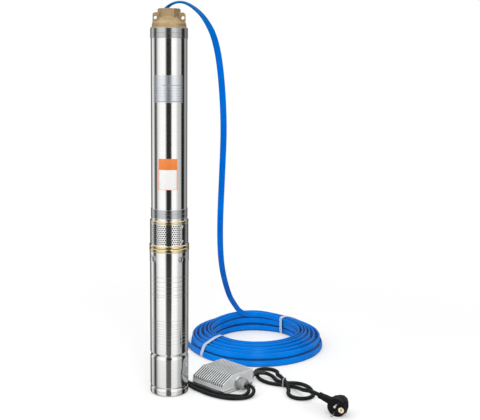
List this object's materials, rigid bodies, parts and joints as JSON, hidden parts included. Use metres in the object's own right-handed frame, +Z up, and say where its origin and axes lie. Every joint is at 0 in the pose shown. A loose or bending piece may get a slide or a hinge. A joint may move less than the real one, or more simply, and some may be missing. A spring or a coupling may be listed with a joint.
{
  "type": "borehole submersible pump",
  "caption": "Slim stainless borehole pump: brass discharge head, stacked stages, perforated intake and canned motor, with flat drop cable, coil, finned control box, mains lead and plug.",
  "frame": {"origin": "centre of the flat underside of the motor, on the floor the pump stands on", "axes": "+Z up along the pump axis towards the discharge, +X to the right of the front view, -Y towards the viewer"},
  "size_m": [0.3934, 0.6263, 0.7839],
  "materials": {
    "polished_steel": "polished",
    "satin_steel": "satin",
    "fastener_steel": "plain",
    "cast_brass": "cast, matte",
    "bright_brass": "turned",
    "bearing_bronze": "turned",
    "copper_winding": "enamelled",
    "lamination": "stacked",
    "cast_iron": "cast",
    "black_rubber": "matte",
    "stage_plastic": "moulded",
    "impeller_plastic": "moulded",
    "ceramic": "ground",
    "plate_silver": "printed film",
    "tag_film": "printed film",
    "die_cast": "die cast",
    "capacitor_case": "moulded",
    "terminal_plastic": "moulded",
    "blue_jacket": "satin",
    "black_jacket": "satin",
    "white_tie": "satin",
    "grey_tie": "satin",
    "plug_plastic": "moulded",
    "socket_insert": "moulded"
  },
  "bodies": {
    "pump": {"motor_shell": "polished_steel", "motor_collar": "satin_steel", "bottom_cap": "black_rubber", "diaphragm": "black_rubber", "lower_end_bell": "cast_iron", "thrust_pads": "bearing_bronze", "motor_bushes": "bearing_bronze", "stator_core": "lamination", "stator_windings": "copper_winding", "upper_end_bell": "bright_brass", "seal_seat": "ceramic", "lead_connector": "black_rubber", "flange_studs": "fastener_steel", "flange_nuts": "fastener_steel", "inlet_bracket": "bright_brass", "strainer": "polished_steel", "panel_screws": "fastener_steel", "cable_guard": "polished_steel", "motor_lead": "blue_jacket", "pump_tube": "polished_steel", "upper_tube_band": "satin_steel", "lower_tube_band": "satin_steel", "diffusers": "stage_plastic", "bearing_carrier": "stage_plastic", "bearing_bush": "black_rubber", "valve_seat": "bright_brass", "valve_guide": "satin_steel", "discharge_head": "cast_brass", "rating_plate": "plate_silver", "colour_tag": "tag_film", "box_housing": "die_cast", "box_base": "die_cast", "box_gasket": "black_rubber", "box_screws": "fastener_steel", "run_capacitor": "capacitor_case", "terminal_block": "terminal_plastic", "gland_bodies": "die_cast", "gland_nuts": "die_cast", "drop_cable": "blue_jacket", "cable_coil": "blue_jacket", "coil_ties": "white_tie", "cable_tail": "blue_jacket", "cable_joint": "black_rubber", "pump_leads": "black_jacket", "mains_cord": "black_jacket", "cord_tie": "grey_tie", "plug_body": "plug_plastic", "plug_pins": "fastener_steel", "plug_contacts": "socket_insert"},
    "rotor": {"motor_shaft": "fastener_steel", "rotor_core": "lamination", "thrust_disc": "fastener_steel", "seal_ring": "stage_plastic", "sand_slinger": "black_rubber", "shaft_coupling": "fastener_steel", "pump_shaft": "fastener_steel", "impellers": "impeller_plastic"},
    "check_valve": {"valve_poppet": "impeller_plastic", "valve_seal": "black_rubber"}
  },
  "joints": [
    {"name": "shaft_spin", "type": "hinge", "parent": "pump", "child": "rotor", "pos_m": [0, 0, 0.3], "axis": [0, 0, 1], "continuous": true},
    {"name": "check_valve_lift", "type": "slide", "parent": "pump", "child": "check_valve", "axis": [0, 0, 1], "range_m": [0, 0.008]}
  ]
}
